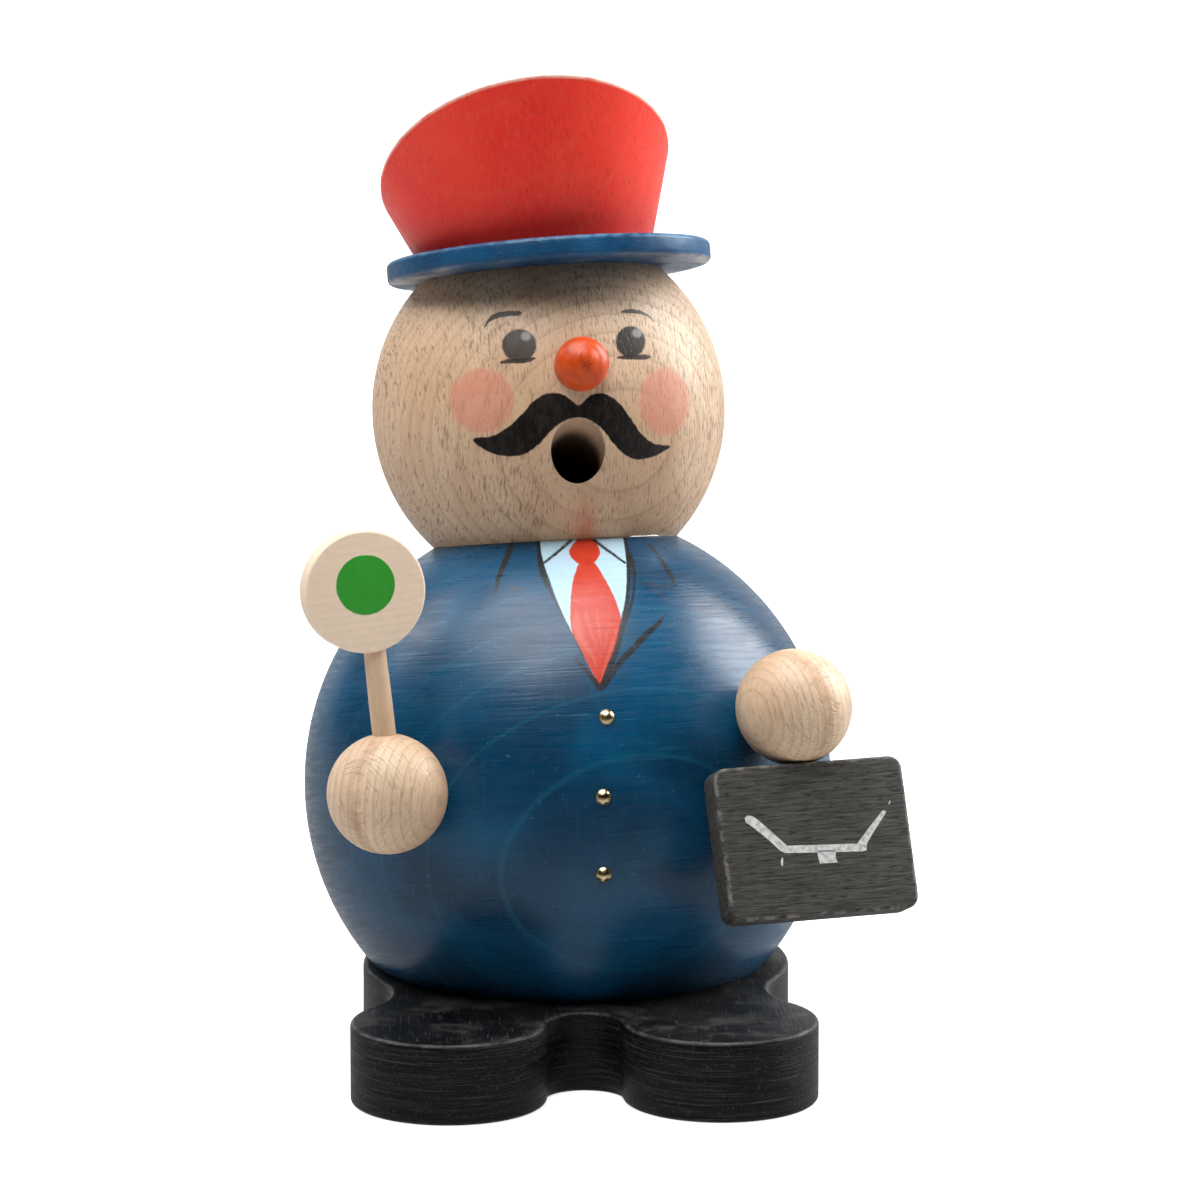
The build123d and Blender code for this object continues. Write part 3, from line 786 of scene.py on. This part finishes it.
def board_material():
    look = Look("board_black", at(*BOARD_PLACE, 0) @ rx(-90), Roughness=0.42, Specular_IOR_Level=0.18)
    layers = look.noise((0.045, 1.9, 0.045), 4.0, 0.7)
    fine = look.noise((0.1, 5.5, 0.1), 3.0, 0.7)
    fleck = look.noise((2.6, 2.6, 0.26), 1.0, 0.5, distortion=0.2)
    look.base = look.mix(look.span(layers, 0.35, 0.7), (0.0014, 0.0014, 0.0016), (0.01, 0.0096, 0.0098))
    look.tint(look.span(fine, 0.5, 0.7), 0.72, (0.06, 0.057, 0.055))
    look.tint(look.span(fleck, 0.62, 0.7), 0.5, (0.05, 0.046, 0.044))
    # Rounded edges top and bottom are lighter grey: partly wear, partly a painted highlight.
    tilt = look.math("ABSOLUTE", look.parts(look.add("NewGeometry", (), "Normal"))[2])
    edge = look.times(look.span(tilt, 0.25, 0.6), look.fall(tilt, 0.86, 0.985))
    wear_and_highlight = look.span(look.noise((0.35, 0.8, 0.35), 4.0, 0.65), 0.4, 0.66, 0.1, 0.8)
    look.tint(edge, wear_and_highlight, (0.085, 0.085, 0.088))
    look.rough(look.span(layers, 0.3, 0.7, 0.36, 0.52))
    grooves = look.plus(look.times(fine, 0.6), look.times(fleck, 0.5))
    return look.finish(grooves, 0.08)


def case_material():
    look = Look("case_grey", case_middle @ ry(90), Roughness=0.66, Specular_IOR_Level=0.3)
    fibre = look.noise((2.6, 1.2, 0.16), 4.0, 0.7)
    fine = look.noise((7.0, 4.0, 0.5), 2.0, 0.6)
    pores = look.noise((3.4, 2.0, 0.45), 1.0, 0.5, distortion=0.4)
    look.base = look.mix(look.span(fibre, 0.3, 0.72), (0.024, 0.0235, 0.021), (0.085, 0.081, 0.073))
    look.tint(look.span(fine, 0.55, 0.8), 0.5, (0.12, 0.115, 0.105))
    look.tint(look.span(pores, 0.6, 0.68), 0.8, (0.01, 0.009, 0.008))
    # The rim of the front and back faces is lighter: partly worn paint, partly a painted highlight.
    down, deep, across = (look.math("ABSOLUTE", value) for value in look.parts(look.local))
    near = [
        look.span(value, half - 0.75, half - 0.15)
        for value, half in ((down, CASE_TALL / 2), (across, CASE_WIDE / 2), (deep, CASE_THICK / 2))
    ]
    edge = look.times(look.math("MAXIMUM", near[0], near[1]), near[2])
    wear_and_highlight = look.span(look.noise(0.55, 4.0, 0.65), 0.42, 0.62)
    look.tint(edge, look.times(wear_and_highlight, 0.75), (0.24, 0.225, 0.21))
    return look.finish(look.minus(fibre, look.times(pores, 0.6)), 0.12)


def disc_material():
    look = Look("disc_beech", disc_frame, Roughness=0.46, Specular_IOR_Level=0.4)
    height, _, _ = beech_layers(
        look, (0, 80, 0), pith=(0.0, 48.0), period=1.1, first=48.0, flecks=0.85, contrast=1.5, wobble=2.4
    )
    look.cover(0.65, (0.95, 0.78, 0.61))
    offset = look.vector("SUBTRACT", look.stretched((1, 1, 0)), (*DOT_MIDDLE, 0.0))
    z = look.parts(look.local)[2]
    wobble = look.times(look.minus(look.noise(0.9), 0.5), 0.18)
    radius = look.plus(look.vector("LENGTH", offset, output="Value"), wobble)
    dot = look.fall(radius, DOT_RADIUS - 0.08, DOT_RADIUS + 0.08)
    dot = look.times(dot, look.span(z, 1.5, 1.9))
    green = look.mix(look.noise(0.7), (0.024, 0.29, 0.022), (0.042, 0.36, 0.034))
    look.cover(dot, green)
    look.rough(look.span(dot, 0.0, 1.0, 0.46, 0.38))
    return look.finish(look.plus(height, look.times(dot, 0.6)), 0.05)


def nose_material():
    look = Look("nose_orange", nose_frame, Roughness=0.36, Specular_IOR_Level=0.35, Coat_Roughness=0.12)
    tone = look.span(look.noise(0.6), 0.3, 0.7)
    look.base = look.mix(tone, (0.5, 0.05, 0.006), (0.66, 0.085, 0.012))
    return look.finish(look.noise(1.5, 2.0), 0.03)


def metal_material(name, first, second, gloss):
    look = Look(name, Metallic=1.0, Roughness=gloss)
    spots = look.noise(1.4, 3.0, 0.6)
    look.base = look.mix(look.span(spots, 0.35, 0.7), first, second)
    look.rough(look.span(spots, 0.3, 0.7, gloss - 0.06, gloss + 0.12))
    return look.finish(look.noise(3.0, 2.0), 0.02)


def incense_material():
    look = Look("incense_powder", Roughness=0.92)
    grains = look.noise(2.4, 4.0, 0.7)
    look.base = look.mix(grains, (0.03, 0.016, 0.01), (0.15, 0.085, 0.05))
    look.tint(look.noise(0.5), 0.4, (0.09, 0.06, 0.04))
    return look.finish(grains, 0.12)


def glue_material():
    look = Look(
        "dried_glue", Roughness=0.16, IOR=1.48, Coat_Weight=0.5, Coat_Roughness=0.08, Transmission_Weight=0.75
    )
    look.base = look.mix(look.noise(0.5, 2.0), (0.62, 0.55, 0.42), (0.8, 0.76, 0.66))
    return look.finish()


# Pieces

DISC_ROUND, DOT_RADIUS = 0.4, 4.15
DOT_PIXEL = (365.6, 585.0)
DOT_MIDDLE = from_photo([DOT_PIXEL], disc_frame @ at(0, 0, DISC_THICK / 2))[0]


def body_ball():
    bm = spheroid(BODY_SIDE, BODY_TALL, 1.2, 0.28, (-20, 20), (10, 66))
    slice_off(bm, at(0, 0, NECK_Z), keep_above=False)
    bm.transform(neck_frame)
    slice_off(bm, at(0, 0, BOARD_TOP), keep_above=True)
    ball = add_object("coat_ball", bm)
    chamber = lathe([
        (0, BOARD_TOP - 2), (CHAMBER, BOARD_TOP - 2), (CHAMBER, CHAMBER_TOP),
        (THROAT, CHAMBER_TOP + ROOF), (0, CHAMBER_TOP + ROOF),
    ], 96)
    throat = rod(THROAT, 0, NECK_Z + 2, neck_frame)
    vent = rod(VENT, 0, BODY_TALL + 4, turned @ at(0, 0, VENT_Z) @ rx(-90))
    seats = []
    for hand, radius in ((right_hand, RIGHT_HAND), (left_hand, LEFT_HAND)):
        seat = spheroid(radius, radius, 5.0, 5.0)
        seat.transform(hand)
        seats.append(seat)
    carve(ball, [chamber, throat, vent, *seats])
    paint(ball, neck_frame.translation, COAT_PAINT)
    fit(ball, coat_material(), "blue_stained_wood", "body_ball")


def head_ball():
    bm = spheroid(HEAD_SIDE, HEAD_TALL, 1.5, 0.42, (-44, 44), (-42, 40))
    bm.transform(head_frame)
    slice_off(bm, neck_frame @ at(0, 0, NECK_Z), keep_above=True)
    slice_off(bm, hat_frame, keep_above=False)
    ball = add_object("face_ball", bm)
    mouth = on_head(MOUTH_AZIMUTH, MOUTH_ELEVATION)
    reach = (mouth.translation - head_frame.translation).length
    run = reach * math.cos(math.radians(MOUTH_ELEVATION)) / math.cos(math.radians(MOUTH_SLOPE))
    direction = head_frame @ outward(MOUTH_AZIMUTH, MOUTH_SLOPE)
    bore = Matrix.Translation(mouth.translation) @ direction.to_3x3().to_4x4()
    throat = rod(THROAT, -HEAD_DROP - 2, 8 - HEAD_DROP, head_frame)
    carve(ball, [rod(MOUTH, -run, MOUTH + 2, bore, 96), throat])
    paint(ball, head_frame.translation, FACE_PAINT)
    fit(ball, head_material(), "bare_beech", "head_ball")


def nose():
    profile = [(0, -1.0), (NOSE - 0.1, -1.0), (NOSE, -0.2), (NOSE, 1.4)]
    profile += [(NOSE * math.cos(a), 1.4 + 2.6 * math.sin(a)) for a in (0.2, 0.4, 0.6, 0.8, 0.95, 1.1)]
    profile += [(1.35, 4.0), (1.0, 4.12), (0.92, 4.4), (0.8, 4.62), (0.5, 4.72), (0, 4.75)]
    piece = add_object("nose", lathe(profile, 96), nose_frame)
    fit(piece, nose_material(), "orange_painted_wood", "nose_knob")


def rim_points(radius, low, high, rounding, count):
    """A disc's rounded rim, as points of its profile."""
    under = arc_points((radius - rounding, low + rounding), rounding, -90, 0, count)
    return under + arc_points((radius - rounding, high - rounding), rounding, 0, 90, count)


def brim():
    rim = rim_points(BRIM, 0, BRIM_THICK, BRIM_ROUND, 7)
    profile = [(0, 0), (9, 0), *rim, (9, BRIM_THICK), (0, BRIM_THICK)]
    fit(add_object("brim", lathe(profile, 240), brim_frame), brim_material(), "brim_stained_wood", "hat_brim")


def crown():
    """Flared cone between the brim's plane and the slanting top."""
    lean = ry(CROWN_LEAN).to_3x3()
    up = Vector((0, 0, 1))
    axis = lean @ up
    flare = math.tan(math.radians(CROWN_FLARE))
    steps, levels = 240, 48
    angles = [2 * math.pi * k / steps for k in range(steps)]
    edge = crown_top.z * CROWN_HEIGHT - CROWN_ROUND

    def cut(angle, normal, offset, inset=0.0):
        spoke = lean @ Vector((math.cos(angle), math.sin(angle), 0))
        foot, toward = CROWN_FOOT - inset, spoke.dot(normal)
        run = (offset - foot * toward) / (axis.dot(normal) + flare * toward)
        return axis * run + spoke * (foot + flare * run)

    rings = []
    for level in range(levels + 1):
        rings.append([cut(a, up, 0).lerp(cut(a, crown_top, edge), level / levels) for a in angles])
    for out, rise in arc_points((0, 0), CROWN_ROUND, 0, 90, 6)[1:]:
        rings.append([cut(a, crown_top, edge + rise, CROWN_ROUND - out) for a in angles])
    fit(add_object("crown", solid(rings), crown_frame), crown_material(), "red_stained_wood", "hat_crown")


def hand(name, place, radius, heart, **layers):
    piece = add_object(name, spheroid(radius, radius, 3.0, 3.0), place)
    material = bare_beech(
        f"{name}_beech", place, heart, turn=(90, 0, 0), flecks=0.6, wobble=0.9, rays=(0.35, 4.6, 0.8),
        ray_share=0.22, line=0.42, **layers
    )
    fit(piece, material, "bare_beech", f"{name}_ball")


def stick():
    start = RIGHT_HAND - 5.0
    end = DISC_HEIGHT - DISC + 4.0
    thick, thin = STICK + 0.05, STICK - 0.12
    profile = [(0, start), (thick, start), (thick, RIGHT_HAND + 4), (thin, end), (0, end)]
    piece = add_object("stick", lathe(profile, 48), stick_frame)
    layers = {"pith": (0.0, 9.0), "period": 1.4, "first": 9.0, "flecks": 0.72, "contrast": 0.45}
    fit(piece, bare_beech("stick_beech", stick_frame, **layers), "bare_beech", "signal_stick")


def disc():
    half = DISC_THICK / 2
    profile = [(0, -half), *rim_points(DISC, -half, half, DISC_ROUND, 6), (0, half)]
    fit(add_object("disc", lathe(profile), disc_frame), disc_material(), "bare_beech", "signal_disc")


def rounded_rectangle(wide, tall, corner):
    points = []
    for cx, cy, start in ((1, 1, 0), (-1, 1, 90), (-1, -1, 180), (1, -1, 270)):
        centre = (cx * (wide / 2 - corner), cy * (tall / 2 - corner))
        points += arc_points(centre, corner, start, start + 90, 8)
    return points


def edge_profile(low, high, radius):
    """(inset, height) points of a slab's rounded edge."""
    return [(-x, y) for x, y in rim_points(0, low, high, radius, 5)]


def case():
    half = CASE_THICK / 2
    rings = []
    for inset, height in edge_profile(-half, half, CASE_ROUND):
        outline = rounded_rectangle(CASE_WIDE - 2 * inset, CASE_TALL - 2 * inset, CASE_CORNER - inset)
        rings.append([(x, y, height) for x, y in outline])
    piece = add_object("case", solid(rings), case_middle @ rx(90))
    fit(piece, case_material(), "grey_stained_wood", "briefcase")
    front = case_middle @ rx(90) @ at(0, 0, half)
    look = Look("flap_white", front, Roughness=0.5)
    worn = look.span(look.noise(1.4), 0.3, 0.62)
    look.base = look.mix(worn, (0.4, 0.39, 0.385), (0.66, 0.65, 0.64))
    white = look.finish(look.noise(1.0, 2.0), 0.03)
    for number, pixels in enumerate(FLAP_LINE):
        outline = from_photo(pixels, front)
        bm = solid([[(x, y, height) for x, y in outline] for height in (-0.05, 0.03)])
        fit(add_object(f"flap_line_{number}", bm, front), white, "grey_stained_wood")


def board_outline(inset):
    """Heel and toes with hollows between, moved in by inset; the hollows grow by it."""
    setback = TOE_REACH - HEEL
    notch_radius = (TOE_SPREAD ** 2 + setback ** 2 - TOE ** 2) / (2 * (TOE + setback))
    notch = np.array([0, -(HEEL + notch_radius)])
    span = math.hypot(TOE_SPREAD, TOE_REACH)
    along = (span ** 2 + (HEEL + WAIST) ** 2 - (TOE + WAIST) ** 2) / (2 * span)
    across = math.sqrt((HEEL + WAIST) ** 2 - along ** 2)
    toe = np.array([TOE_SPREAD, -TOE_REACH])
    ahead = toe / span
    waist = np.array([ahead[0] * along - ahead[1] * across, ahead[1] * along + ahead[0] * across])
    heel = np.zeros(2)

    def sweep(centre, radius, before, after, count, turn):
        """Arc about a centre, from its neighbour before to the one after; turn is 1 or -1."""
        start, end = (
            point if isinstance(point, int) else math.degrees(math.atan2(*(point - centre)[::-1]))
            for point in (before, after)
        )
        while (end - start) * turn < 0:
            end += 360 * turn
        return arc_points(centre, radius, start, end, count)[:-1]

    half = sweep(notch, notch_radius + inset, 90, toe, 12, -1)
    half += sweep(toe, TOE - inset, notch, waist, 60, 1)
    half += sweep(waist, WAIST + inset, toe, heel, 20, -1)
    half += sweep(heel, HEEL - inset, waist, 90, 70, 1)
    return half + [(0.0, HEEL - inset)] + [(-x, y) for x, y in half[1:]][::-1]


def board():
    rings = []
    for inset, height in edge_profile(0, BOARD_TOP, BOARD_ROUND):
        rings.append([(x + BOARD_PLACE[0], y + BOARD_PLACE[1], height) for x, y in board_outline(inset)])
    piece = add_object("footed_board", solid(rings))
    fit(piece, board_material(), "black_stained_wood", "base_board", body="base")


def nails():
    brass = metal_material("nail_brass", (0.86, 0.7, 0.42), (0.62, 0.44, 0.22), 0.22)
    dome = (NAIL_HEAD ** 2 + NAIL_RISE ** 2) / (2 * NAIL_RISE)
    start = math.asin(NAIL_HEAD / dome)
    angles = [start * (1 - k / 8) for k in range(8)]
    cap = [(dome * math.sin(a), NAIL_RISE - dome + dome * math.cos(a)) for a in angles]
    shank = [(0, -NAIL_LENGTH), (NAIL_SHANK, -NAIL_LENGTH), (NAIL_SHANK, -0.05), (NAIL_HEAD - 0.05, -0.05)]
    for node, *spot in (("button_top", 1.9, 26.6), ("button_middle", 0.3, 9.6), ("button_bottom", 0.3, -7.2)):
        piece = add_object(f"{node}_nail", lathe([*shank, *cap, (0, NAIL_RISE)], 48), on_body(*spot))
        fit(piece, brass, "nail_brass", node)


def glue_bead():
    """Dried glue that was squeezed out at the neck, as a thin uneven cord."""
    steps, sides = 90, 10
    rings = []
    for k in range(steps + 1):
        share = k / steps
        angle = math.radians(-82 + 62 * share)
        swell = 0.16 + 0.2 * math.sin(math.pi * share) * (0.7 + 0.3 * math.sin(share * 23))
        swell *= min(1.0, 8 * share, 8 * (1 - share)) + 0.02
        ring = []
        for side in range(sides):
            turn = 2 * math.pi * side / sides
            radius, height = NECK + swell * math.cos(turn), NECK_Z + swell * 0.8 * math.sin(turn)
            ring.append((radius * math.cos(angle), radius * math.sin(angle), height))
        rings.append(ring)
    fit(add_object("neck_glue", solid(rings), neck_frame), glue_material(), "bare_beech")


def dress_hidden_nodes():
    """Materials for the solids that are shown as they are."""
    beech = bare_beech("plug_beech", pith=(0.0, 6.0), period=2.2, first=0.0, contrast=0.9)
    tray = metal_material("tray_brass", (0.62, 0.46, 0.22), (0.2, 0.12, 0.06), 0.42)
    steel = metal_material("pin_steel", (0.55, 0.55, 0.56), (0.36, 0.35, 0.34), 0.3)
    nail = metal_material("tray_nail_brass", (0.8, 0.62, 0.34), (0.4, 0.28, 0.14), 0.3)
    looks = (
        (beech, "base_plug", "hat_peg", "right_hand_peg", "left_hand_peg"),
        (tray, "cone_tray"),
        (nail, "tray_nail"),
        (incense_material(), "incense_cone"),
        (steel, "briefcase_pin"),
    )
    for material, *names in looks:
        for name in names:
            nodes[name].data.materials.clear()
            nodes[name].data.materials.append(material)


body_ball()
head_ball()
nose()
brim()
crown()
hand("right_hand", right_hand, RIGHT_HAND, 0.2, pith=(26.0, 2.0), period=1.25, first=31.4)
hand("left_hand", left_hand, LEFT_HAND, -1.9, pith=(-24.0, 3.0), period=1.15, first=25.2)
stick()
disc()
case()
board()
nails()
glue_bead()
dress_hidden_nodes()


# Floor, lights and camera

FLOOR_SEEN, FLOOR_MIRRORED, FLOOR_COLOUR, FLOOR_DARK = 0.8, 0.42, 0.57, 0.08
ROOM_LIT, SWEEP_LIT, ROOM_MIRRORED = 0.02, 0.45, 0.01
LAMP_REACH, LAMP_TARGET = 1.1, 0.07     # metres, the second above the floor
# name, degrees to the figure's left of its front, degrees up, size in metres, watts
SOFTBOXES = (
    ("top", -60, 80, (0.95, 1.05), 20.0),
    ("right_side", 112, 26, (0.65, 0.72), 15.5),
    ("left_side", -118, 38, (0.4, 0.45), 3.0),
    ("front_high", -20, 64, (0.7, 0.4), 1.8),
)
LIT_SPAN = (0.0, 0.6)                   # where the sweep begins and is full, as directions along +Y
MIRRORED_SPAN = (0.68, 0.95)
TABLE_START, TABLE_END = -0.09, -0.16   # where the lit table ends in front, metres along Y


def ray_kinds(nodes):
    """Light Path's camera rays, and its mirror and glass rays as one."""
    path = nodes.add("LightPath").node.outputs
    return path["Is Camera Ray"], nodes.math("MAXIMUM", path["Is Glossy Ray"], path["Is Transmission Ray"])


def floor():
    reach = 3.0
    mesh = bpy.data.meshes.new("floor")
    corners = [(x * reach, y * reach, 0) for x, y in ((-1, -1), (1, -1), (1, 1), (-1, 1))]
    mesh.from_pydata(corners, [], [(0, 1, 2, 3)])
    made = link_object("floor", mesh)
    look = Look("pale_floor", Roughness=0.9, Emission_Color=(1, 1, 1, 1))
    seen, mirrored = ray_kinds(look)
    look.base = look.between(mirrored, FLOOR_COLOUR, FLOOR_DARK)
    forward = look.parts(look.add("NewGeometry", (), "Position"))[1]
    table = look.between(look.span(forward, TABLE_END, TABLE_START), ROOM_MIRRORED, FLOOR_MIRRORED)
    strength = look.between(seen, look.between(mirrored, 0.0, table), FLOOR_SEEN)
    look.link(strength, look.shader.inputs["Emission Strength"])
    mesh.materials.append(look.finish())


def lights():
    target = Vector((0, 0, LAMP_TARGET))
    for name, azimuth, elevation, size, power in SOFTBOXES:
        lamp = bpy.data.lights.new(name, "AREA")
        lamp.shape = "RECTANGLE"
        lamp.size, lamp.size_y = size
        lamp.energy = power
        made = link_object(name, lamp)
        place = target + outward(azimuth, elevation).col[2].to_3d() * LAMP_REACH
        made.location = place
        made.rotation_euler = (target - place).to_track_quat("-Z", "Y").to_euler()
    world = bpy.data.worlds.new("studio")
    bpy.context.scene.world = world
    world.use_nodes = True
    background = world.node_tree.nodes["Background"]
    background.inputs["Color"].default_value = (1, 1, 1, 1)
    sky = Nodes(world.node_tree)
    seen, mirrored = ray_kinds(sky)
    toward_sweep = sky.parts(sky.add("TexCoord", (), "Generated"))[1]
    room = sky.between(sky.span(toward_sweep, *MIRRORED_SPAN), ROOM_MIRRORED, 1.0)
    air = sky.between(sky.span(toward_sweep, *LIT_SPAN), ROOM_LIT, SWEEP_LIT)
    sky.link(sky.between(seen, sky.between(mirrored, air, room), 1.0), background.inputs["Strength"])


def camera():
    data = bpy.data.cameras.new("camera")
    data.sensor_width = 36.0
    data.lens = PHOTO_FOCAL / PHOTO_SIZE * data.sensor_width
    data.clip_start, data.clip_end = 0.05, 20.0
    made = link_object("camera", data)
    made.matrix_world = Matrix.Scale(MM, 4) @ camera_matrix @ Matrix.Scale(1 / MM, 4)
    bpy.context.scene.camera = made


floor()
lights()
camera()
bpy.context.scene.view_settings.view_transform = "Standard"
